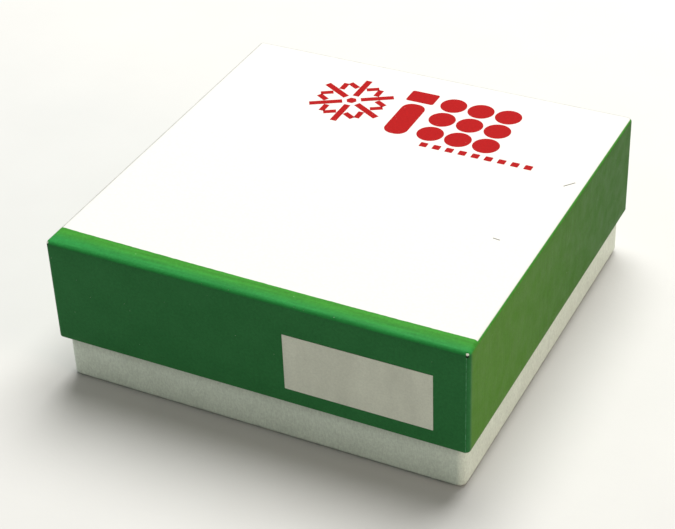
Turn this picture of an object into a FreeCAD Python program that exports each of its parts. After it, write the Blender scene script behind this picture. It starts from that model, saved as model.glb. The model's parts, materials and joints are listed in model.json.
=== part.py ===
"""Cryogenic storage box: a rigid set-up box of paper-wrapped chipboard for small cryovials.

A telescoping lid drops over a base, and a loose divider of half-lapped card strips stands inside
the base and makes a square grid of cells. Lid and base are built alike, as trays: a chipboard
blank folded up so that its walls butt at the corners, a paper stay that bridges each corner, and
a sheet of wrapping paper that covers the outside, rolls over the rim and is turned in along the
inside. The lid is such a tray turned over.

Frame: millimetres, origin at the centre of the underside, +Z up, -Y to the front, where the
lid carries its write-on label.
"""

import FreeCAD, Part
import Sketcher
import os
import re

from FreeCAD import Placement, Rotation, Vector

DIMENSIONS = {
    "box_width": 133.35,  # outside of the lid, the same in X and Y (5 1/4 in)
    "box_height": 49.8,  # outside, lid on
    "lid_height": 34.6,
    "board": 1.1,  # thickness of the chipboard
    "paper": 0.2,  # thickness of the wrapping paper and its glue
    "lid_play": 0.5,  # between the inside of the lid and the outside of the base, each side
    "lid_rest_gap": 0.1,  # between the lid's ceiling and the base's rim
    "lid_corner_radius": 1.7,  # upright corners, outside
    "base_corner_radius": 2.6,
    "fold_radius": 1.3,  # fold between the walls and the panel, outside
    "turn_in": 16,  # paper turned in over the rim
    "slit": 0.15,  # gap where two walls of a blank butt
    "stay_paper": 0.1,  # thickness of a corner stay, pressed flush into the chipboard
    "stay_leg": 12,  # reach of a corner stay along each wall
    "stay_margin": 2,  # from a corner stay to the fold and to the rim
    "cell_count": 9,  # cells along each side of the divider
    "card": 0.6,  # thickness of a divider strip
    "strip_height": 30,
    "strip_gap": 0.1,  # between the divider and the base's floor
    "strip_play": 0.4,  # between a strip's end and the paper turned in
    "lap_play": 0.1,  # spare width and spare depth of a half-lap slot
    "label_width": 45.6,
    "label_height": 19,
    "label_paper": 0.1,
    "label_offset": 33.3,  # middle of the label, to the right of the middle of the front
    "label_level": 29.8,  # middle of the label, above the underside
}

# Sizes that follow from the driving ones, as formulas over their names.
WALL = "(board + 2 * paper)"
FLOOR = "(board + paper)"
BASE_WIDTH = f"(box_width - 2 * {WALL} - 2 * lid_play)"
BASE_HEIGHT = f"(box_height - {FLOOR} - lid_rest_gap)"
STRIP_LENGTH = f"({BASE_WIDTH} - 2 * {WALL} - 2 * strip_play)"
PITCH = f"({STRIP_LENGTH} / cell_count)"

# Each upright corner and the side of the box it is on, in X and in Y.
CORNERS = {"front_left": (-1, -1), "front_right": (1, -1), "back_right": (1, 1), "back_left": (-1, 1)}

SAME_PLACE = 1e-6  # two levels or points closer than this are one

doc = FreeCAD.newDocument("CryogenicStorageBox")
pieces = []


# The sheet, and formulas over it


def make_sheet():
    sheet = doc.addObject("Spreadsheet::Sheet", "Dims")
    for row, (name, value) in enumerate(DIMENSIONS.items(), start=1):
        sheet.set(f"A{row}", name)
        sheet.set(f"B{row}", str(value))
        sheet.setAlias(f"B{row}", name)
    doc.recompute()


def bind(thing, prop, formula):
    """Bind a property to a formula over the names of the driving dimensions."""

    def from_sheet(word):
        return f"Dims.{word[0]}" if word[0] in DIMENSIONS else word[0]

    thing.setExpression(prop, re.sub(r"[a-z_]+", from_sheet, formula))


def place(thing, x=None, y=None, z=None, rotation=Rotation()):
    """Turn a thing, then bind its position to formulas; an axis left out stays at zero."""
    thing.Placement = Placement(Vector(), rotation)
    for axis, formula in (("x", x), ("y", y), ("z", z)):
        if formula:
            bind(thing, f"Placement.Base.{axis}", formula)


def name_piece(thing, label):
    """Name a finished object as one of the real box's pieces."""
    thing.Label = label
    pieces.append(thing)


# Building blocks


def new_sketch(body, name, plane_role, level=None):
    """A sketch on one of the body's own origin planes, raised to a level along its normal."""
    sketch = body.newObject("Sketcher::SketchObject", name)
    plane = next(feature for feature in body.Origin.OriginFeatures if feature.Role == plane_role)
    sketch.AttachmentSupport = (plane, [""])
    sketch.MapMode = "FlatFace"
    if level:
        bind(sketch, "AttachmentOffset.Base.z", level)
    return sketch


def set_distance(sketch, kind, ends, formula):
    index = sketch.addConstraint(Sketcher.Constraint(kind, *ends, 1.0))
    bind(sketch, f"Constraints[{index}]", formula)


def draw_rectangle(sketch, width, height):
    """Draw a rectangle of the given size; the caller's own constraints give it its place."""
    corners = [Vector(x, y, 0) for x, y in ((1, 1), (2, 1), (2, 2), (1, 2))]
    for start, end in zip(corners, corners[1:] + corners[:1]):
        sketch.addGeometry(Part.LineSegment(start, end))
    for line, direction in enumerate(("Horizontal", "Vertical", "Horizontal", "Vertical")):
        sketch.addConstraint(Sketcher.Constraint("Coincident", line, 2, (line + 1) % 4, 1))
        sketch.addConstraint(Sketcher.Constraint(direction, line))
    set_distance(sketch, "DistanceX", (0, 1, 0, 2), width)
    set_distance(sketch, "DistanceY", (1, 1, 1, 2), height)


def round_edges(body, name, radius, chosen):
    """Fillet those edges of the body so far whose two end points pass a test."""
    doc.recompute()
    so_far = body.Tip
    edges = []
    for index, edge in enumerate(so_far.Shape.Edges, start=1):
        if chosen(edge.Vertexes[0].Point, edge.Vertexes[-1].Point):
            edges.append(f"Edge{index}")
    fillet = body.newObject("PartDesign::Fillet", name)
    fillet.Base = (so_far, edges)
    bind(fillet, "Radius", radius)


def is_upright(start, end):
    run = end - start
    return abs(run.z) > SAME_PLACE and abs(run.x) + abs(run.y) < SAME_PLACE


def square_block(name, width, low, high, corner_radius, fold_radius=None):
    """A square block about the Z axis, between two levels, with rounded upright corners.

    A fold radius rounds the edges of its lower face too.
    """
    body = doc.addObject("PartDesign::Body", name)
    sketch = new_sketch(body, f"{name}_outline", "XY_Plane", low)
    draw_rectangle(sketch, width, width)
    sketch.addConstraint(Sketcher.Constraint("Symmetric", 0, 1, 2, 1, -1, 1))
    pad = body.newObject("PartDesign::Pad", f"{name}_pad")
    pad.Profile = sketch
    bind(pad, "Length", f"{high} - {low}")
    round_edges(body, f"{name}_corners", corner_radius, is_upright)
    if fold_radius:
        doc.recompute()
        lowest = min(vertex.Z for vertex in body.Shape.Vertexes)
        round_edges(
            body,
            f"{name}_fold",
            fold_radius,
            lambda start, end: max(start.z, end.z) < lowest + SAME_PLACE,
        )
    doc.recompute()
    return body


def box(name, length, width, height):
    block = doc.addObject("Part::Box", name)
    for prop, formula in (("Length", length), ("Width", width), ("Height", height)):
        bind(block, prop, formula)
    return block


def combine(kind, name, base, tool):
    """The cut or the common volume of two objects."""
    result = doc.addObject(kind, name)
    result.Base = base
    result.Tool = tool
    return result


def fuse(name, shapes):
    result = doc.addObject("Part::MultiFuse", name)
    result.Shapes = shapes
    return result


# Trays: the base, and the lid before it is turned over


def make_wrap(tray, width, height, corner_radius):
    """The wrapping paper: a skin over the outside, the rim, and the paper turned in."""
    outside = square_block(f"{tray}_outside", width, "0", height, corner_radius, "fold_radius")
    board_space = square_block(
        f"{tray}_board_space",
        f"({width} - 2 * paper)",
        "paper",
        f"({height} - paper)",
        f"({corner_radius} - paper)",
        "(fold_radius - paper)",
    )
    skin = combine("Part::Cut", f"{tray}_skin", outside, board_space)
    turned_in = square_block(
        f"{tray}_turned_in",
        f"({width} - 2 * paper - 2 * board)",
        f"({height} - paper - turn_in)",
        f"({height} - paper)",
        f"({corner_radius} - paper - board)",
    )
    room = square_block(
        f"{tray}_room",
        f"({width} - 2 * {WALL})",
        FLOOR,
        f"({height} + paper)",
        f"({corner_radius} - 2 * paper - board)",
    )
    return combine("Part::Cut", f"{tray}_wrap_sheet", fuse(f"{tray}_lined_skin", [skin, turned_in]), room)


def make_stays(tray, width, height, corner_radius):
    """The paper stay of each corner, as deep in the chipboard as its own thickness."""
    low = f"({FLOOR} + stay_margin)"
    high = f"({height} - {FLOOR} - stay_margin)"
    faces = f"({width} - 2 * paper)"
    over = square_block(f"{tray}_stay_over", faces, low, high, f"({corner_radius} - paper)")
    under = square_block(
        f"{tray}_stay_under",
        f"({faces} - 2 * stay_paper)",
        low,
        high,
        f"({corner_radius} - paper - stay_paper)",
    )
    band = combine("Part::Cut", f"{tray}_stay_band", over, under)
    stays = {}
    for corner, (side_x, side_y) in CORNERS.items():
        reach = box(f"{tray}_stay_reach_{corner}", "stay_leg", "stay_leg", height)
        place(
            reach,
            x=f"{side_x} * ({faces} - stay_leg) / 2 - stay_leg / 2",
            y=f"{side_y} * ({faces} - stay_leg) / 2 - stay_leg / 2",
        )
        stays[corner] = combine("Part::Common", f"{tray}_stay_sheet_{corner}", band, reach)
    return stays


def make_board(tray, width, height, corner_radius, stays):
    """The chipboard blank, folded up, with its corner slits and the seats of its stays."""
    block = square_block(
        f"{tray}_board_block",
        f"({width} - 2 * paper)",
        "paper",
        f"({height} - paper)",
        f"({corner_radius} - paper)",
        "(fold_radius - paper)",
    )
    hollow = square_block(
        f"{tray}_board_hollow",
        f"({width} - 2 * paper - 2 * board)",
        FLOOR,
        height,
        f"({corner_radius} - paper - board)",
    )
    slits = []
    for turn in (45, 135):
        slit = box(f"{tray}_slits_{turn}", f"2 * {width}", "slit", height)
        place(
            slit,
            x=f"{width} * -cos({turn}deg) + slit / 2 * sin({turn}deg)",
            y=f"{width} * -sin({turn}deg) - slit / 2 * cos({turn}deg)",
            z=FLOOR,
            rotation=Rotation(Vector(0, 0, 1), turn),
        )
        slits.append(slit)
    taken_away = fuse(f"{tray}_board_gaps", [hollow, *slits, *stays.values()])
    return combine("Part::Cut", f"{tray}_board_blank", block, taken_away)


def turned_over(thing):
    """The thing mirrored in the box's middle level, so that a tray becomes a lid."""
    mirror = doc.addObject("Part::Mirroring", f"{thing.Name}_over")
    mirror.Source = thing
    mirror.Normal = Vector(0, 0, 1)
    bind(mirror, "Base.z", "box_height / 2")
    return mirror


def make_tray(tray, width, height, corner_radius, finish):
    """Make a tray's board, wrap and stays, and pass each through a last step."""
    stays = make_stays(tray, width, height, corner_radius)
    name_piece(finish(make_board(tray, width, height, corner_radius, stays)), f"{tray}_board")
    name_piece(finish(make_wrap(tray, width, height, corner_radius)), f"{tray}_wrap")
    for corner, stay in stays.items():
        name_piece(finish(stay), f"{tray}_stay_{corner}")


# The divider and the label


def make_strip(label, slot_open_upwards):
    """A divider strip along X: a card blank with a half-lap slot for each strip it crosses."""
    body = doc.addObject("PartDesign::Body", label)
    blank = new_sketch(body, f"{label}_blank", "XZ_Plane")
    draw_rectangle(blank, STRIP_LENGTH, "strip_height")
    blank.addConstraint(Sketcher.Constraint("Symmetric", 0, 1, 0, 2, -1, 1))
    pad = body.newObject("PartDesign::Pad", f"{label}_pad")
    pad.Profile = blank
    pad.SideType = "Symmetric"
    bind(pad, "Length", "card")

    slot = new_sketch(body, f"{label}_slot", "XZ_Plane")
    slot_width = "(card + lap_play)"
    slot_depth = "(strip_height / 2 + lap_play)"
    draw_rectangle(slot, slot_width, slot_depth)
    last_crossing = f"((cell_count / 2 - 1) * {PITCH})"
    set_distance(slot, "DistanceX", (-1, 1, 0, 1), f"{last_crossing} - {slot_width} / 2")
    if slot_open_upwards:
        set_distance(slot, "DistanceY", (-1, 1, 0, 1), f"strip_height - {slot_depth}")
    else:
        slot.addConstraint(Sketcher.Constraint("PointOnObject", 0, 1, -1))
    pocket = body.newObject("PartDesign::Pocket", f"{label}_pocket")
    pocket.Profile = slot
    pocket.SideType = "Symmetric"
    pocket.Type = "ThroughAll"
    doc.recompute()

    crossings = body.newObject("PartDesign::LinearPattern", f"{label}_crossings")
    crossings.Originals = [pocket]
    crossings.Direction = (slot, ["H_Axis"])
    crossings.Reversed = True
    bind(crossings, "Length", f"(cell_count - 2) * {PITCH}")
    bind(crossings, "Occurrences", "cell_count - 1")
    body.Tip = crossings
    return body


def make_divider():
    """Strips along X with slots open upwards, and strips along Y that drop into them."""
    level = f"{FLOOR} + strip_gap"
    for count in range(1, DIMENSIONS["cell_count"]):
        across = f"{count} * {PITCH} - {STRIP_LENGTH} / 2"
        along_x = make_strip(f"divider_strip_x{count}", slot_open_upwards=True)
        place(along_x, y=across, z=level)
        name_piece(along_x, f"divider_strip_x{count}")
        along_y = make_strip(f"divider_strip_y{count}", slot_open_upwards=False)
        place(along_y, x=across, z=level, rotation=Rotation(Vector(0, 0, 1), 90))
        name_piece(along_y, f"divider_strip_y{count}")


def make_label():
    label = box("label_sheet", "label_width", "label_paper", "label_height")
    place(
        label,
        x="label_offset - label_width / 2",
        y="-box_width / 2 - label_paper",
        z="label_level - label_height / 2",
    )
    name_piece(label, "write_on_label")


# Checks and files


def check_document():
    """Stop if any object failed, or if a piece isn't one valid solid."""
    for thing in doc.Objects:
        if "Invalid" in thing.State or "Error" in thing.State:
            raise RuntimeError(f"{thing.Label} failed: {thing.State}")
    for piece in pieces:
        shape = piece.Shape
        if shape.isNull() or not shape.isValid() or len(shape.Solids) != 1:
            raise RuntimeError(f"{piece.Label} isn't one valid solid")


def write_pieces():
    os.makedirs("parts", exist_ok=True)
    for piece in pieces:
        piece.Shape.exportStep(f"parts/{piece.Label}.step")
        size = piece.Shape.BoundBox
        print(f"{piece.Label:26} {size.XLength:8.2f} {size.YLength:8.2f} {size.ZLength:8.2f} mm")


make_sheet()
make_tray("base", BASE_WIDTH, BASE_HEIGHT, "base_corner_radius", finish=lambda thing: thing)
make_tray("lid", "box_width", "lid_height", "lid_corner_radius", finish=turned_over)
make_divider()
make_label()
doc.recompute()
check_document()
write_pieces()
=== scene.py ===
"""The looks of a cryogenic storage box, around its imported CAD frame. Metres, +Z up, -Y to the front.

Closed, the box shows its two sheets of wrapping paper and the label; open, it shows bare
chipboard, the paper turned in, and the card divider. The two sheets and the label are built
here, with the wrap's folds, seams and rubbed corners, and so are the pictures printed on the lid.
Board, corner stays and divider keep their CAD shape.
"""

import json
import math

import bmesh
import bpy
from mathutils import Matrix, Vector, noise


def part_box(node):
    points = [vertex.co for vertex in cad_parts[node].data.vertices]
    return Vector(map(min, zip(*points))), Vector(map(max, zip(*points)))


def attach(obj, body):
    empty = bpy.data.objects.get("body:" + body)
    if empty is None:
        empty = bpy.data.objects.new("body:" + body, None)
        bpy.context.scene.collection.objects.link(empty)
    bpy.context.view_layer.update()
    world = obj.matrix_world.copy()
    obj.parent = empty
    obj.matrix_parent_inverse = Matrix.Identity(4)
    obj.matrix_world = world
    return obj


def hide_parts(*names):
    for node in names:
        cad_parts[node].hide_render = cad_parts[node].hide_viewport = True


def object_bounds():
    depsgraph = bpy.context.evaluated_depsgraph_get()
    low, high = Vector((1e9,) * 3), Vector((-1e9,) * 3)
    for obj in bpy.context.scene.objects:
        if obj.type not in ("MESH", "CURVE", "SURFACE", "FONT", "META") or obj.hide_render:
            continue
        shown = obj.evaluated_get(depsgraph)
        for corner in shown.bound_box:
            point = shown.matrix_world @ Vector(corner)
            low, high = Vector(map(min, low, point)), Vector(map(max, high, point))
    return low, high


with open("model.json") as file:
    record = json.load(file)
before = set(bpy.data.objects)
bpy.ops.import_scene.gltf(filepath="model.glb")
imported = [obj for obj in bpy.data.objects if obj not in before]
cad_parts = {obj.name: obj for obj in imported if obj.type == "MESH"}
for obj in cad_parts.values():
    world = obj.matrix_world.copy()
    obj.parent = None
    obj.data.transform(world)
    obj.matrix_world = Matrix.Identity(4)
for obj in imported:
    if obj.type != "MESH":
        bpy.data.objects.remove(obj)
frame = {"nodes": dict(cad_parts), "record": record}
cad_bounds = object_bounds()

MM = 0.001
SLOT_OF = {entry["node"]: entry["material_slot"] for entry in frame["record"]["subparts"]}

# ---------------------------------------------------------------- node materials


class Paint:
    """Builds the node tree of one material, with Object coordinates in metres."""

    def __init__(self, name, roughness, specular=0.5):
        self.material = bpy.data.materials.new(name)
        self.material.use_nodes = True
        self.tree = self.material.node_tree
        self.shader = self.tree.nodes["Principled BSDF"]
        self.shader.inputs["Specular IOR Level"].default_value = specular
        self.shader.inputs["Roughness"].default_value = roughness
        self.place = self.tree.nodes.new("ShaderNodeTexCoord").outputs["Object"]

    def add_sheen(self, weight, tint):
        """A coloured sheen at grazing angles, as printing ink has."""
        self.shader.inputs["Sheen Weight"].default_value = weight
        self.shader.inputs["Sheen Tint"].default_value = (*tint, 1)

    def put(self, socket, value):
        """Link an output to a socket, or set the socket to a number or colour."""
        if isinstance(value, bpy.types.NodeSocket):
            self.tree.links.new(value, socket)
        else:
            socket.default_value = value

    def math(self, operation, *values):
        node = self.tree.nodes.new("ShaderNodeMath")
        node.operation = operation
        for socket, value in zip(node.inputs, values):
            self.put(socket, value)
        return node.outputs[0]

    def add(self, first, second):
        return self.math("ADD", first, second)

    def subtract(self, first, second):
        return self.math("SUBTRACT", first, second)

    def times(self, first, second):
        return self.math("MULTIPLY", first, second)

    def least(self, first, second):
        return self.math("MINIMUM", first, second)

    def most(self, first, second):
        return self.math("MAXIMUM", first, second)

    def size_of(self, value):
        """The value without its sign."""
        return self.math("ABSOLUTE", value)

    def axes(self):
        """The X, Y and Z of the place, as three outputs."""
        split = self.tree.nodes.new("ShaderNodeSeparateXYZ")
        self.put(split.inputs[0], self.place)
        return split.outputs

    def noise(self, size, detail=3.0, rough=0.55, stretch=(1, 1, 1)):
        """Noise of about that size in metres, from 0 to 1, longer along an axis of low stretch."""
        mapping = self.tree.nodes.new("ShaderNodeMapping")
        self.put(mapping.inputs["Vector"], self.place)
        mapping.inputs["Scale"].default_value = stretch
        cloud = self.tree.nodes.new("ShaderNodeTexNoise")
        self.put(cloud.inputs["Vector"], mapping.outputs[0])
        cloud.inputs["Scale"].default_value = 1 / size
        cloud.inputs["Detail"].default_value = detail
        cloud.inputs["Roughness"].default_value = rough
        return cloud.outputs["Fac"]

    def specks(self, spacing, radius):
        """Small round specks at random places about that far apart, 1 inside and 0 outside."""
        cells = self.tree.nodes.new("ShaderNodeTexVoronoi")
        self.put(cells.inputs["Vector"], self.place)
        cells.inputs["Scale"].default_value = 1 / spacing
        return self.step(cells.outputs["Distance"], radius / spacing, radius / spacing * 0.6)

    def near(self, place, radius):
        """A ragged spot, 1 inside and 0 outside, at the same place in all four corners of the box."""
        offsets = [self.subtract(self.size_of(axis), middle) for axis, middle in zip(self.axes(), place)]
        squares = [self.times(offset, offset) for offset in offsets]
        distance = self.math("SQRT", self.add(self.add(squares[0], squares[1]), squares[2]))
        ragged = self.times(self.noise(0.9 * radius, 3), radius)
        outside, inside = 1.45 * radius, 1.2 * radius  # raggedness included
        return self.step(self.add(distance, ragged), outside, inside)

    def scratch(self, start, end, width):
        """1 along a short scratch seen from above, and 0 beside it."""
        x, y, _ = self.axes()
        length = math.dist(start, end)
        across_x, across_y = (start[1] - end[1]) / length, (end[0] - start[0]) / length
        from_x, from_y = self.subtract(x, start[0]), self.subtract(y, start[1])
        across = self.add(self.times(from_x, across_x), self.times(from_y, across_y))
        along = self.subtract(self.times(from_x, across_y), self.times(from_y, across_x))
        beyond = self.most(self.subtract(along, length), self.times(along, -1))
        return self.step(self.most(self.size_of(across), beyond), width, 0.5 * width)

    def step(self, value, at_zero, at_one):
        """A smooth step from 0, where the value is at_zero, to 1, where it is at_one."""
        ramp = self.tree.nodes.new("ShaderNodeMapRange")
        ramp.interpolation_type = "SMOOTHSTEP"
        self.put(ramp.inputs["Value"], value)
        self.put(ramp.inputs["From Min"], at_zero)
        self.put(ramp.inputs["From Max"], at_one)
        return ramp.outputs[0]

    def spread(self, value, low, high):
        """The value, which runs from about 0.3 to 0.7, spread from low to high."""
        ramp = self.tree.nodes.new("ShaderNodeMapRange")
        self.put(ramp.inputs["Value"], value)
        for name, number in (("From Min", 0.3), ("From Max", 0.7), ("To Min", low), ("To Max", high)):
            ramp.inputs[name].default_value = number
        return ramp.outputs[0]

    def mix(self, share, first, second, blend="MIX"):
        """A colour between two, each a colour or an output."""
        mixer = self.tree.nodes.new("ShaderNodeMix")
        mixer.data_type = "RGBA"
        mixer.blend_type = blend
        self.put(mixer.inputs[0], share)
        for socket, value in ((mixer.inputs[6], first), (mixer.inputs[7], second)):
            self.put(socket, (*value, 1) if isinstance(value, tuple) else value)
        return mixer.outputs[2]

    def shade(self, colour, factor):
        """The colour with its brightness multiplied by an output."""
        grey = self.tree.nodes.new("ShaderNodeCombineColor")
        for socket in grey.inputs:
            self.put(socket, factor)
        return self.mix(1.0, colour, grey.outputs[0], blend="MULTIPLY")

    def blotch(self, first, second, *grain):
        """A colour that drifts between two, by noise of that grain."""
        return self.mix(self.spread(self.noise(*grain), 0, 1), first, second)

    def mottle(self, colour, low, high, *grain, **stretch):
        """The colour with its brightness multiplied by noise of that grain, from low to high."""
        return self.shade(colour, self.spread(self.noise(*grain, **stretch), low, high))

    def stain(self, colour, mask, strength, stain):
        """The colour mixed with a stain, by a mask and a strength."""
        return self.mix(self.times(mask, strength), colour, stain)

    def finish(self, colour, bumps, roughness=None):
        """Plug in the colour, the roughness and a stack of bumps, each (height, depth in metres)."""
        self.put(self.shader.inputs["Base Color"], colour)
        if roughness is not None:
            self.put(self.shader.inputs["Roughness"], roughness)
        normal = None
        for height, depth in bumps:
            bump = self.tree.nodes.new("ShaderNodeBump")
            bump.inputs["Distance"].default_value = depth
            self.put(bump.inputs["Height"], height)
            if normal:
                self.put(bump.inputs["Normal"], normal)
            normal = bump.outputs[0]
        self.put(self.shader.inputs["Normal"], normal)
        return self.material


WHITE = (0.606, 0.606, 0.592)
# Painted shade along the top's left and back edges.
WHITE_EDGE_SHADE = (0.330, 0.330, 0.322)
GREEN = (0.026, 0.160, 0.048)
GREEN_DEEP = (0.021, 0.142, 0.041)
# Painted light: the fold's painted highlight and the top's painted yellow sheen.
GREEN_FOLD_HIGHLIGHT = (0.018, 0.192, 0.042)
GREEN_TOP_SHEEN = (0.036, 0.208, 0.025)
# Painted light: the side walls' green with a painted sheen, darker at the back and brighter at the front.
GREEN_SIDE_LIT_BACK = (0.016, 0.118, 0.012)
GREEN_SIDE_SHEEN_FRONT = (0.056, 0.198, 0.017)
BARE_PAPER = (0.72, 0.74, 0.66)
BASE_PAPER = (0.715, 0.780, 0.675)
BASE_PAPER_DULL = (0.656, 0.718, 0.617)
CHIPBOARD = (0.300, 0.275, 0.232)
CHIPBOARD_DARK = (0.175, 0.158, 0.130)
CARD = (0.740, 0.730, 0.690)
CARD_DULL = (0.630, 0.615, 0.565)
CARD_CORE = (0.420, 0.400, 0.350)
LABEL = (0.640, 0.655, 0.555)
KRAFT = (0.420, 0.290, 0.160)
RED = (0.300, 0.0035, 0.004)
# Dirt for specks and grime, and the colour of the painted shade under the lid's rim.
DIRT_AND_SHADE = (0.20, 0.185, 0.15)
# Painted shade inside the pinhole.
PINHOLE_SHADE = (0.010, 0.020, 0.012)
FLOOR = (0.55, 0.55, 0.545)
SOOT = (0.070, 0.062, 0.050)
# Painted highlight: the emerald of the cut edge beside each corner's seam.
SEAM_PAPER_HIGHLIGHT = (0.14, 0.40, 0.22)
SCRATCHES = (((0.0608, 0.0198), (0.0631, 0.0226)), ((0.0520, -0.0141), (0.0538, -0.0143)))

# The front edge of the white is a little askew and bent: 8 mm of green at the left, 6.5 at the right.
WHITE_FRONT = -59.8 * MM
WHITE_SLOPE = -0.0133
WHITE_BEND = 0.12  # per metre
WHITE_JITTER = 0.35 * MM
WHITE_SIDE_MARGIN = 0.55 * MM
WHITE_BACK_MARGIN = 0.75 * MM
WHITE_BLUR = 0.12 * MM  # half-width of the edge between white and green
EDGE_SHADE_SPAN = (0.95 * MM, 0.35 * MM)  # inside the white's left and back edges, from no painted shade to full painted shade
SCRATCH_WIDTH = 0.27 * MM
TOP_STARTS = (1.1 * MM, 0.9 * MM)  # below the top, where the walls' green gives way to the top
SIDE_STARTS = (0.7 * MM, 0.3 * MM)  # inside the right and left walls
CORNER_ENDS = (0.9 * MM, 2.8 * MM)  # from the front and the back, where the side's painted light sets in
SHEEN_TO_FOLD_HIGHLIGHT = (-1 * MM, -6 * MM)  # from the white's edge, where the top's painted sheen turns to the fold's painted highlight
RUB = (1.75 * MM, 1.35 * MM)  # distance from an edge, from unrubbed to rubbed, raggedness included
RUB_RAGGED = 3.4 * MM
RIM_SPARED = 0.25 * MM  # the rim is rubbed that much less than the folds

# The mitre at the top of each corner leaves a pinhole, painted as a dark spot of painted shade,
# with torn white paper above it. Places are inside the side, inside the front and below the top.
PINHOLE_PLACE = (0.75 * MM, 0.15 * MM, 1.3 * MM)
TORN_PLACE = (0.7 * MM, 0.3 * MM, 0.6 * MM)
SPOT_RADIUS = 0.6 * MM

# Painted shade on the base along the line of the lid's rim, where the lid overhangs it. Heights are above
# the underside.
RIM_SHADE_BELOW = (10.5 * MM, 15.2 * MM)  # sets in, full
RIM_SHADE_ABOVE = (19 * MM, 15.4 * MM)
GRIME_HEIGHT = 5 * MM
CORE_SHOWS = (0.06 * MM, 0.02 * MM)  # inside a card strip's top and bottom edge


def inside_white(paint):
    """How far a place is inside the white's front, side and back edges."""
    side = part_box("lid_wrap")[1].x
    x, y, _ = paint.axes()
    jitter = paint.times(paint.subtract(paint.noise(2.5 * MM), 0.5), WHITE_JITTER)
    bend = paint.times(paint.times(x, x), WHITE_BEND)
    front_edge = paint.add(paint.add(paint.times(x, WHITE_SLOPE), bend), WHITE_FRONT)
    inside_front = paint.subtract(paint.add(y, jitter), front_edge)
    inside_side = paint.subtract(side - WHITE_SIDE_MARGIN, paint.size_of(x))
    inside_back = paint.subtract(side - WHITE_BACK_MARGIN, y)
    return inside_front, inside_side, inside_back


def lid_green(paint, inside_front, on_top):
    """The green, with painted light: a painted sheen on the sides, darker towards the back and brighter
    and yellower towards the front, and on the top a painted yellow sheen by the white, turning to a
    painted highlight at the fold.
    """
    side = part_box("lid_wrap")[1].x
    x, y, _ = paint.axes()
    off_corner = paint.step(paint.size_of(y), side - CORNER_ENDS[0], side - CORNER_ENDS[1])
    at_side = paint.step(paint.size_of(x), side - SIDE_STARTS[0], side - SIDE_STARTS[1])
    on_side = paint.times(at_side, off_corner)
    # Painted light on the side walls: a painted sheen, darker towards the back, brighter and yellower
    # towards the front.
    side_painted_light = paint.mix(paint.step(y, side, -0.9 * side), GREEN_SIDE_LIT_BACK, GREEN_SIDE_SHEEN_FRONT)
    side_painted_light = paint.mottle(side_painted_light, 0.90, 1.09, 0.6 * MM, 3, stretch=(1, 1, 0.05))
    # On the top, a painted yellow sheen by the white that turns to a painted highlight towards the fold.
    top_painted_light = paint.mix(paint.step(inside_front, *SHEEN_TO_FOLD_HIGHLIGHT), GREEN_TOP_SHEEN, GREEN_FOLD_HIGHLIGHT)
    top_painted_light = paint.mottle(top_painted_light, 0.86, 1.12, 1.1 * MM, 4, stretch=(0.06, 1, 1))
    green = paint.blotch(GREEN, GREEN_DEEP, 11 * MM, 4)
    green = paint.mix(on_side, green, side_painted_light)
    green = paint.mix(on_top, green, top_painted_light)
    green = paint.mottle(green, 0.82, 1.16, 0.9 * MM, 5, 0.8)
    return paint.stain(green, paint.specks(3.1 * MM, 0.11 * MM), 0.5, BARE_PAPER)


def lid_white(paint, inside_back):
    """The white, with painted shade along the left and the back edges, with specks and two scratches."""
    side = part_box("lid_wrap")[1].x
    inside_left = paint.add(paint.axes()[0], side - WHITE_SIDE_MARGIN)
    # Painted shade in a thin line along the left and back edges of the top.
    edge_shade = paint.step(paint.least(inside_left, inside_back), *EDGE_SHADE_SPAN)
    white = paint.stain(WHITE, edge_shade, paint.spread(paint.noise(3 * MM, 4), 0.5, 1), WHITE_EDGE_SHADE)
    white = paint.mottle(white, 0.955, 1.035, 0.8 * MM, 4, 0.7)
    white = paint.stain(white, paint.specks(7.3 * MM, 0.13 * MM), 0.35, DIRT_AND_SHADE)
    for start, end in SCRATCHES:
        white = paint.stain(white, paint.scratch(start, end, SCRATCH_WIDTH), 0.85, SOOT)
    return white


def rubbed_edges(paint):
    """1 where ink is rubbed off along the lid's folds, corners and rim, and 0 elsewhere."""
    low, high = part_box("lid_wrap")
    x, y, z = paint.axes()
    from_side = paint.subtract(high.x, paint.size_of(x))
    from_front = paint.subtract(high.x, paint.size_of(y))
    corner = paint.most(from_side, from_front)
    fold = paint.most(paint.least(from_side, from_front), paint.subtract(high.z, z))
    rim = paint.add(paint.subtract(z, low.z), RIM_SPARED)
    edge = paint.least(paint.least(corner, fold), rim)
    ragged = paint.times(paint.noise(0.9 * MM, 5, 0.7), RUB_RAGGED)
    return paint.step(paint.add(edge, ragged), *RUB)


def lid_print():
    """Coated paper, white on the top and green on the walls, with the green carried over the front."""
    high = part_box("lid_wrap")[1]
    paint = Paint("lid_print", roughness=0.5, specular=0.03)
    paint.add_sheen(0.05, (1.0, 0.7, 0.08))
    on_top = paint.step(paint.axes()[2], high.z - TOP_STARTS[0], high.z - TOP_STARTS[1])
    inside_front, inside_side, inside_back = inside_white(paint)
    nearest = paint.least(inside_front, paint.least(inside_side, inside_back))
    white_share = paint.times(paint.step(nearest, -WHITE_BLUR, WHITE_BLUR), on_top)
    green = lid_green(paint, inside_front, on_top)
    colour = paint.mix(white_share, green, lid_white(paint, inside_back))
    colour = paint.stain(colour, rubbed_edges(paint), 0.55, BARE_PAPER)
    # The pinhole's dark is painted shade; the torn paper above it is bare paper.
    for inside, spot in ((PINHOLE_PLACE, PINHOLE_SHADE), (TORN_PLACE, BARE_PAPER)):
        place = (high.x - inside[0], high.x - inside[1], high.z - inside[2])
        colour = paint.mix(paint.near(place, SPOT_RADIUS), colour, spot)
    rough = paint.spread(paint.noise(5 * MM, 5), 0.36, 0.5)
    bumps = ((paint.noise(0.35 * MM, 3), 0.02 * MM), (paint.noise(5 * MM, 2), 0.05 * MM))
    return paint.finish(colour, bumps, rough)


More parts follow.
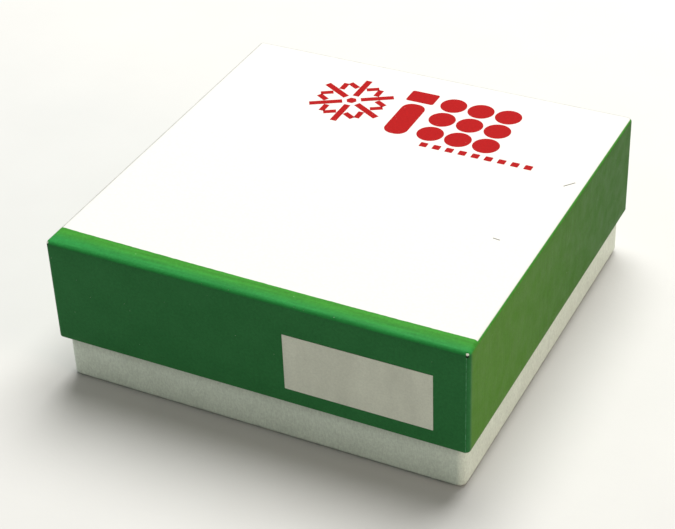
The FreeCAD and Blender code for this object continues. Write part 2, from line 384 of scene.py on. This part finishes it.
def base_paper():
    """Uncoated off-white paper with fibres, painted shade along the lid's rim and grime towards the
    underside.
    """
    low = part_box("base_wrap")[0]
    paint = Paint("base_paper", roughness=0.6, specular=0.35)
    z = paint.axes()[2]
    colour = paint.blotch(BASE_PAPER, BASE_PAPER_DULL, 7 * MM, 5)
    colour = paint.mottle(colour, 0.91, 1.08, 0.4 * MM, 3, stretch=(1, 1, 0.35))
    colour = paint.mottle(colour, 0.89, 1.10, 0.9 * MM, 5, 0.8)
    # Painted shade in a band just under the lid's rim.
    level = paint.subtract(paint.add(z, paint.times(paint.noise(6 * MM), 1 * MM)), low.z)
    rim_shade = paint.times(paint.step(level, *RIM_SHADE_BELOW), paint.step(level, *RIM_SHADE_ABOVE))
    colour = paint.stain(colour, rim_shade, 0.3, DIRT_AND_SHADE)
    colour = paint.stain(colour, paint.specks(2.6 * MM, 0.09 * MM), 0.4, DIRT_AND_SHADE)
    grime = paint.times(paint.noise(3.5 * MM, 6, 0.65), paint.step(z, low.z + GRIME_HEIGHT, low.z))
    colour = paint.stain(colour, paint.step(grime, 0.42, 0.75), 0.5, DIRT_AND_SHADE)
    rough = paint.spread(paint.noise(4 * MM, 5), 0.5, 0.68)
    bumps = ((paint.noise(0.3 * MM, 4), 0.03 * MM), (paint.noise(5 * MM, 2), 0.12 * MM))
    return paint.finish(colour, bumps, rough)


def cut_paper():
    """The cut edge of the printed paper, torn soft along its length, in emerald as a painted highlight
    beside the seam.
    """
    paint = Paint("cut_paper", roughness=0.8, specular=0.1)
    # The emerald is a painted highlight beside the seam.
    colour = paint.mottle(SEAM_PAPER_HIGHLIGHT, 0.1, 1.1, 1.3 * MM, 5)
    return paint.finish(colour, ((paint.noise(0.2 * MM, 4), 0.05 * MM),))


def chipboard():
    """Grey chipboard of recycled fibre, with dark and pale flecks."""
    paint = Paint("chipboard", roughness=0.9, specular=0.2)
    colour = paint.blotch(CHIPBOARD, CHIPBOARD_DARK, 0.7 * MM, 6, 0.7)
    colour = paint.mottle(colour, 0.88, 1.1, 9 * MM, 3)
    colour = paint.stain(colour, paint.specks(1.7 * MM, 0.16 * MM), 0.6, CARD)
    bumps = ((paint.noise(0.25 * MM, 5, 0.7), 0.06 * MM), (paint.noise(2 * MM, 3), 0.08 * MM))
    return paint.finish(colour, bumps)


def divider_card():
    """White-lined card with a greyer core, which shows along the top and the bottom edge."""
    low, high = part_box("divider_strip_x1")
    paint = Paint("divider_card", roughness=0.72, specular=0.3)
    z = paint.axes()[2]
    at_top = paint.step(z, high.z - CORE_SHOWS[0], high.z - CORE_SHOWS[1])
    at_bottom = paint.step(z, low.z + CORE_SHOWS[0], low.z + CORE_SHOWS[1])
    colour = paint.blotch(CARD, CARD_DULL, 6 * MM, 4)
    colour = paint.mix(paint.most(at_top, at_bottom), colour, CARD_CORE)
    colour = paint.mottle(colour, 0.94, 1.04, 0.5 * MM, 4)
    colour = paint.stain(colour, paint.specks(2.9 * MM, 0.1 * MM), 0.5, CHIPBOARD)
    bumps = ((paint.noise(0.3 * MM, 4), 0.03 * MM), (paint.noise(6 * MM, 2), 0.15 * MM))
    return paint.finish(colour, bumps)


def label_paper():
    """Matte write-on paper with a fine tooth and a few smudges."""
    paint = Paint("label_paper", roughness=0.8, specular=0.25)
    colour = paint.mottle(LABEL, 0.92, 1.07, 0.6 * MM, 5, 0.7)
    colour = paint.mottle(colour, 0.91, 1.06, 8 * MM, 4, stretch=(1, 1, 0.4))
    colour = paint.stain(colour, paint.specks(4.1 * MM, 0.1 * MM), 0.4, DIRT_AND_SHADE)
    return paint.finish(colour, ((paint.noise(0.25 * MM, 4), 0.03 * MM),))


def stay_paper():
    """Brown kraft tape with its fibres upright."""
    paint = Paint("stay_paper", roughness=0.75, specular=0.3)
    colour = paint.mottle(KRAFT, 0.85, 1.12, 0.6 * MM, 5, stretch=(1, 1, 0.2))
    return paint.finish(colour, ((paint.noise(0.4 * MM, 4), 0.04 * MM),))


def red_ink():
    """Printed red, thin in places so that the paper's tooth shows."""
    paint = Paint("red_ink", roughness=0.6, specular=0.06)
    colour = paint.mottle(RED, 0.92, 1.1, 0.5 * MM, 4)
    colour = paint.stain(colour, paint.specks(1.9 * MM, 0.09 * MM), 0.55, WHITE)
    return paint.finish(colour, ((paint.noise(0.35 * MM, 3), 0.02 * MM),))


def floor_paper():
    """Plain pale backdrop paper."""
    paint = Paint("floor", roughness=0.85, specular=0.2)
    colour = paint.mottle(FLOOR, 0.985, 1.01, 40 * MM, 3)
    return paint.finish(colour, ((paint.noise(1.5 * MM, 2), 0.02 * MM),))


# ---------------------------------------------------------------- shapes of the wrapping paper

LID_CORNER = 1.5 * MM  # radius of the upright corners, outside
BASE_CORNER = 2.6 * MM
FOLD_RADIUS = 1.55 * MM  # between the panel and the walls, outside
BOARD = 1.1 * MM
TURN_IN = 16 * MM
RIM_RADIUS = 0.35 * MM
PANEL_SINK = 0.05 * MM  # how far the panel's paper lies inside its CAD face
LID_SEAM = 16  # degrees round a corner from the front or back, where the upper layer of paper ends
BASE_SEAM = 75
CUT_EDGE = 3.5  # degrees of bare paper along that end
STEP_DOWN = 0.5  # degrees that the step down from one layer to the other takes
SEAM_ROOM = 1  # degrees on both sides of the seam without other columns
LAYER = 0.07 * MM  # how much lower the layer below lies
WAVE = 0.05 * MM  # unevenness of the glued paper
WAVE_LENGTH = 14 * MM
DENT = 0.3 * MM  # depth of the dent where the layers meet in a corner of the fold
DENT_WIDTH = 12  # degrees
LEAST_RADIUS = 0.25 * MM  # of a corner on the inside of a sheet
SHARP = math.radians(35)  # an edge that turns by more is shaded sharp

ARC_STEPS = 15  # to a corner
SIDE_STEPS = 26
FOLD_STEPS = 6
WALL_STEPS = 12
PANEL_SHARES = (0.06, 0.22, 0.42, 0.6, 0.76, 0.88, 0.95)  # rings of the panel, from its middle
CORNER_SIGNS = ((1, -1), (1, 1), (-1, 1), (-1, -1))  # front right, then round by the back


def ring_columns(seam_angle):
    """The columns of a ring: ("corner", which, angle from the front or back) or ("side", which, share)."""
    seam = (seam_angle, seam_angle + CUT_EDGE, seam_angle + CUT_EDGE + STEP_DOWN)
    angles = [90 * step / ARC_STEPS for step in range(ARC_STEPS + 1)]
    clear = [angle for angle in angles if not seam[0] - SEAM_ROOM < angle < seam[2] + SEAM_ROOM]
    angles = sorted(clear + list(seam))
    columns = []
    for corner in range(4):
        turning_from_front_or_back = corner % 2 == 0
        for angle in angles if turning_from_front_or_back else reversed(angles):
            columns.append(("corner", corner, angle))
        for step in range(1, SIDE_STEPS):
            columns.append(("side", corner, 0.5 - 0.5 * math.cos(math.pi * step / SIDE_STEPS)))
    return columns


def ring_point(column, half, radius):
    """A column's place on a rounded square of that half-width, and the way that it faces."""
    kind, corner, value = column
    sign = Vector(CORNER_SIGNS[corner])
    if kind == "corner":
        turn = math.radians(value)
        facing = Vector((sign.x * math.sin(turn), sign.y * math.cos(turn)))
        return sign * (half - radius) + facing * radius, facing
    after = Vector(CORNER_SIGNS[(corner + 1) % 4])
    facing = (sign + after) / 2
    return sign.lerp(after, value) * (half - radius) + facing * radius, facing


def is_lower_layer(column, seam_angle):
    """True where the upper layer of paper has ended: past the seams, on the right and left."""
    kind, corner, value = column
    if kind == "corner":
        return value > seam_angle + CUT_EDGE + STEP_DOWN / 2
    return corner % 2 == 0


def radius_at(half, outer_half, corner_radius):
    """The corner radius of a ring that is nested in the outer one."""
    return max(corner_radius - (outer_half - half), LEAST_RADIUS)


def wrap_profile(half, depth, paper):
    """The section of a wrap from the middle of its panel, over fold and rim, and back on the glued side.

    Each point is (half-width of its ring, depth below the panel, share of the wall's layering, part).
    """
    wall = 2 * paper + BOARD
    turned = depth - paper - TURN_IN
    points = [(share * half, PANEL_SINK, 0, "panel") for share in PANEL_SHARES]
    for step in range(FOLD_STEPS + 1):
        turn = math.pi / 2 * step / FOLD_STEPS
        out = half - FOLD_RADIUS * (1 - math.sin(turn))
        down = PANEL_SINK + (FOLD_RADIUS - PANEL_SINK) * (1 - math.cos(turn))
        points.append((out, down, step / FOLD_STEPS, "fold"))
    for step in range(1, WALL_STEPS + 1):
        down = FOLD_RADIUS + (depth - RIM_RADIUS - FOLD_RADIUS) * step / WALL_STEPS
        points.append((half, down, 1, "wall"))
    for turn in (math.pi / 6, math.pi / 3, math.pi / 2):
        out = half - RIM_RADIUS * (1 - math.cos(turn))
        points.append((out, depth - RIM_RADIUS * (1 - math.sin(turn)), 1, "wall"))
    for turn in (math.pi / 2, math.pi / 3, math.pi / 6, 0):
        out = half - wall + RIM_RADIUS * (1 - math.cos(turn))
        points.append((out, depth - RIM_RADIUS * (1 - math.sin(turn)), 0, "inside"))
    points.append((half - wall, turned, 0, "cut"))
    points.append((half - wall + paper, turned, 0, "glued"))
    points.append((half - wall + paper, depth - paper, 0, "glued"))
    points.append((half - paper, depth - paper, 0, "glued"))
    for step in range(FOLD_STEPS + 1):
        turn = math.pi / 2 * (1 - step / FOLD_STEPS)
        out = half - FOLD_RADIUS + (FOLD_RADIUS - paper) * math.sin(turn)
        points.append((out, FOLD_RADIUS - (FOLD_RADIUS - paper) * math.cos(turn), 0, "glued"))
    points += [(share * half, paper, 0, "glued") for share in reversed(PANEL_SHARES)]
    return points


def inward(place, column, part, layering, seam_angle, seed):
    """How far the outside of the paper lies inside the plain shape."""
    bump = noise.noise(place / WAVE_LENGTH + Vector((seed, 0, 0)))
    depth = WAVE * (0.5 + 0.5 * bump) + LAYER * is_lower_layer(column, seam_angle)
    if part == "fold" and column[0] == "corner":
        depth += DENT * math.exp(-(((column[2] - seam_angle) / DENT_WIDTH) ** 2)) * (1 - layering)
    return depth


def wrap_sheet(node, board_node, corner_radius, seam_angle, panel_on_top, seed):
    """The sheet of wrapping paper that stands for a tray's wrap node, as one closed mesh."""
    low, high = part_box(node)
    paper = high.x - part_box(board_node)[1].x
    profile = wrap_profile(high.x, high.z - low.z, paper)
    columns = ring_columns(seam_angle)
    shape = bmesh.new()
    rings = []
    for half, depth, layering, part in profile:
        ring = []
        for column in columns:
            flat, facing = ring_point(column, half, radius_at(half, high.x, corner_radius))
            z = high.z - depth if panel_on_top else low.z + depth
            if part in ("fold", "wall"):
                place = Vector((flat.x, flat.y, z))
                flat = flat - facing * inward(place, column, part, layering, seam_angle, seed) * layering
            ring.append(shape.verts.new((flat.x, flat.y, z)))
        rings.append(ring)
    shape.faces.new(rings[0])
    shape.faces.new(rings[-1])
    for inner, outer, point in zip(rings, rings[1:], profile[1:]):
        for index, column in enumerate(columns):
            after = (index + 1) % len(columns)
            face = shape.faces.new((inner[index], inner[after], outer[after], outer[index]))
            bare_strip = point[3] == "wall" and is_cut_edge(column, columns[after], seam_angle)
            face.material_index = 1 if bare_strip else 0
    return finish_mesh(shape, f"{node}_sheet")


def is_cut_edge(column, after, seam_angle):
    """True between two columns of one corner that hold the bare end of the upper layer."""
    if column[0] != "corner" or after[0] != "corner" or column[1] != after[1]:
        return False
    return seam_angle <= min(column[2], after[2]) < seam_angle + CUT_EDGE + STEP_DOWN / 2


def finish_mesh(shape, name):
    """Turn a bmesh into an object with smooth curves and sharp edges."""
    bmesh.ops.recalc_face_normals(shape, faces=shape.faces)
    mesh = bpy.data.meshes.new(name)
    shape.to_mesh(mesh)
    shape.free()
    mesh.shade_smooth()
    mesh.set_sharp_from_angle(angle=SHARP)
    thing = bpy.data.objects.new(name, mesh)
    bpy.context.scene.collection.objects.link(thing)
    return thing


# ---------------------------------------------------------------- label and print

INK = 0.02 * MM  # thickness of the red print, which lies on the lid's paper
INK_GAP = 0.004 * MM
STROKE = 2.2 * MM  # width of the snowflake's arms
PICTURE_HEIGHT = 27.5 * MM
PICTURE_LEVEL = 41.4 * MM  # middle of the pictures, along Y
PICTURES_FROM, PICTURES_TO = -33.7 * MM, 35.1 * MM  # along X
VIAL_AT, VIAL_WIDTH = 0.7 * MM, 9.6 * MM
CAP_CORNER = 0.8 * MM
DISC_PITCH = 9.4 * MM
SQUARE, SQUARE_CORNER = 2.5 * MM, 0.3 * MM
SQUARE_PITCH, SQUARE_COUNT = 4.33 * MM, 9
SQUARES_FROM = (12.7 * MM, 25.2 * MM)
LABEL_CORNER = 0.12 * MM


def plate(name, outlines, thickness):
    """Thin plates with these outlines, lying on the XY plane."""
    shape = bmesh.new()
    for outline in outlines:
        lower = [shape.verts.new((x, y, 0)) for x, y in outline]
        upper = [shape.verts.new((x, y, thickness)) for x, y in outline]
        shape.faces.new(lower)
        shape.faces.new(upper)
        for index in range(len(outline)):
            after = (index + 1) % len(outline)
            shape.faces.new((lower[index], lower[after], upper[after], upper[index]))
    return finish_mesh(shape, name)


def rounded_rectangle(centre, width, height, radius, steps=5):
    """The outline of a rectangle with rounded corners."""
    outline = []
    for quarter, (side_x, side_y) in enumerate(((1, 1), (-1, 1), (-1, -1), (1, -1))):
        for step in range(steps + 1):
            turn = math.pi / 2 * (quarter + step / steps)
            outline.append((
                centre[0] + side_x * (width / 2 - radius) + radius * math.cos(turn),
                centre[1] + side_y * (height / 2 - radius) + radius * math.sin(turn),
            ))
    return outline


def disc(centre, radius, steps=28):
    """The outline of a disc."""
    turns = (2 * math.pi * step / steps for step in range(steps))
    return [(centre[0] + radius * math.cos(turn), centre[1] + radius * math.sin(turn)) for turn in turns]


def bar(start, direction, length, width):
    """A bar from a start, that way in radians."""
    along = Vector((math.cos(direction), math.sin(direction)))
    across = Vector((-along.y, along.x)) * width / 2
    start = Vector(start)
    end = start + along * length
    return [tuple(point) for point in (start - across, end - across, end + across, start + across)]


def snowflake(centre, radius):
    """Six arms with a pair of barbs each, apart as a stencil would cut them."""
    hub, arm_start, arm_length = 0.13 * radius, 0.22 * radius, 0.78 * radius
    barbs_at, barb_length = 0.52 * radius, 0.3 * radius
    barb_gap, barb_width = 0.85 * STROKE, 0.9 * STROKE
    outlines = [disc(centre, hub, steps=6)]
    centre = Vector(centre)
    for arm in range(6):
        way = math.pi / 2 + arm * math.pi / 3
        along = Vector((math.cos(way), math.sin(way)))
        outlines.append(bar(centre + along * arm_start, way, arm_length, STROKE))
        for side in (1, -1):
            lean = way + side * math.pi / 3
            out = Vector((math.cos(lean), math.sin(lean)))
            start = centre + along * barbs_at + out * barb_gap
            outlines.append(bar(start, lean, barb_length, barb_width))
    return outlines


def vial(centre, height, width):
    """A capped tube with a round end."""
    x, y = centre
    cap, gap = 0.24 * height, 0.05 * height
    tube = height - cap - gap
    tube_width, tube_corner = 0.82 * width, 0.36 * width
    return [
        rounded_rectangle((x, y + height / 2 - cap / 2), width, cap, CAP_CORNER),
        rounded_rectangle((x, y - height / 2 + tube / 2), tube_width, tube, tube_corner, steps=10),
    ]


def cell_grid(centre, pitch, radius, count=3):
    """A square grid of discs."""
    places = [(index - (count - 1) / 2) * pitch for index in range(count)]
    return [disc((centre[0] + x, centre[1] + y), radius) for x in places for y in places]


def lid_pictures():
    """Generic red pictures on the lid's top: cold, a vial, a grid of cells; and a row of small squares."""
    half = PICTURE_HEIGHT / 2
    outlines = snowflake((PICTURES_FROM + half, PICTURE_LEVEL), half)
    outlines += vial((VIAL_AT, PICTURE_LEVEL), PICTURE_HEIGHT, VIAL_WIDTH)
    outlines += cell_grid((PICTURES_TO - half, PICTURE_LEVEL), DISC_PITCH, half - DISC_PITCH)
    for index in range(SQUARE_COUNT):
        centre = (SQUARES_FROM[0] + index * SQUARE_PITCH, SQUARES_FROM[1])
        outlines.append(rounded_rectangle(centre, SQUARE, SQUARE, SQUARE_CORNER))
    pictures = plate("lid_pictures", outlines, INK)
    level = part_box("lid_wrap")[1].z - PANEL_SINK
    for vertex in pictures.data.vertices:
        vertex.co.z += level + INK_GAP
    return pictures


def label_sheet():
    """The write-on label, standing on the lid's front."""
    low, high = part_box("write_on_label")
    width, height = high.x - low.x, high.z - low.z
    outline = rounded_rectangle(((low.x + high.x) / 2, (low.z + high.z) / 2), width, height, LABEL_CORNER)
    shape = plate("write_on_label_sheet", [outline], high.y - low.y)
    for vertex in shape.data.vertices:
        x, up, out = vertex.co
        vertex.co = (x, high.y - out, up)
    return shape


# ---------------------------------------------------------------- the object

paints = {
    "chipboard": chipboard(),
    "base_paper": base_paper(),
    "lid_print": lid_print(),
    "label_paper": label_paper(),
    "stay_paper": stay_paper(),
    "divider_card": divider_card(),
}
for node, thing in frame["nodes"].items():
    for material_slot in thing.material_slots:
        material_slot.material = paints[SLOT_OF[node]]


def add_piece(thing, node, body, *materials):
    """Stand a piece in for a CAD node, on that node's body."""
    for material in materials:
        thing.data.materials.append(material)
    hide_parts(node)
    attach(thing, body)


lid_sheet = wrap_sheet("lid_wrap", "lid_board", LID_CORNER, LID_SEAM, panel_on_top=True, seed=3.1)
base_sheet = wrap_sheet("base_wrap", "base_board", BASE_CORNER, BASE_SEAM, panel_on_top=False, seed=7.7)
add_piece(lid_sheet, "lid_wrap", "lid", paints["lid_print"], cut_paper())
# The base's paper has no print on it, so its cut edge has the same colour.
add_piece(base_sheet, "base_wrap", "base", paints["base_paper"], paints["base_paper"])
add_piece(label_sheet(), "write_on_label", "lid", paints["label_paper"])

pictures = lid_pictures()
pictures.data.materials.append(red_ink())
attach(pictures, "lid")

# ---------------------------------------------------------------- floor, light and camera

BOX_MIDDLE = Vector((0, 0, 0.03))
FLOOR_REACH = 4  # half-width
FLOOR_GAP = 0.02 * MM  # keeps the underside off the floor
CAMERA_AT = (0.2065, -0.4071, 0.3360)
AZIMUTH, TILT, ROLL = 27.56, 55.08, -2.39  # degrees
LENS, SENSOR = 94.9, 36  # mm, as on a camera


def add_floor():
    """A wide floor just below the box."""
    shape = bmesh.new()
    bmesh.ops.create_grid(shape, x_segments=2, y_segments=2, size=FLOOR_REACH)
    floor = finish_mesh(shape, "floor")
    floor.location.z = cad_bounds[0].z - FLOOR_GAP
    floor.data.materials.append(floor_paper())


def add_area_light(name, place, size, power, colour):
    """A round soft light that shines on the box."""
    lamp = bpy.data.lights.new(name, "AREA")
    lamp.shape = "DISK"
    lamp.size = size
    lamp.energy = power
    lamp.color = colour
    light = bpy.data.objects.new(name, lamp)
    light.location = place
    light.rotation_euler = (BOX_MIDDLE - Vector(place)).to_track_quat("-Z", "Y").to_euler()
    bpy.context.scene.collection.objects.link(light)


def add_world(colour, strength):
    """Even light from all round."""
    world = bpy.data.worlds.new("studio")
    world.use_nodes = True
    background = world.node_tree.nodes["Background"]
    background.inputs["Color"].default_value = (*colour, 1)
    background.inputs["Strength"].default_value = strength
    bpy.context.scene.world = world


def add_camera():
    """A long lens from the front right, looking down at the box."""
    data = bpy.data.cameras.new("camera")
    data.sensor_width = SENSOR
    data.lens = LENS
    camera = bpy.data.objects.new("camera", data)
    camera.location = CAMERA_AT
    azimuth, tilt, roll = (math.radians(angle) for angle in (AZIMUTH, TILT, ROLL))
    turn = Matrix.Rotation(azimuth, 3, "Z") @ Matrix.Rotation(tilt, 3, "X") @ Matrix.Rotation(roll, 3, "Z")
    camera.rotation_euler = turn.to_euler()
    bpy.context.scene.collection.objects.link(camera)
    bpy.context.scene.camera = camera


add_floor()
add_world(colour=(0.93, 1.0, 0.94), strength=0.30)
add_area_light("key", (-0.05, 0.60, 1.42), size=1.2, power=41, colour=(1.0, 0.985, 0.95))
add_area_light("side", (1.25, -0.20, 0.50), size=0.5, power=4.8, colour=(1.0, 0.74, 0.60))
add_camera()
bpy.context.scene.view_settings.view_transform = "Standard"
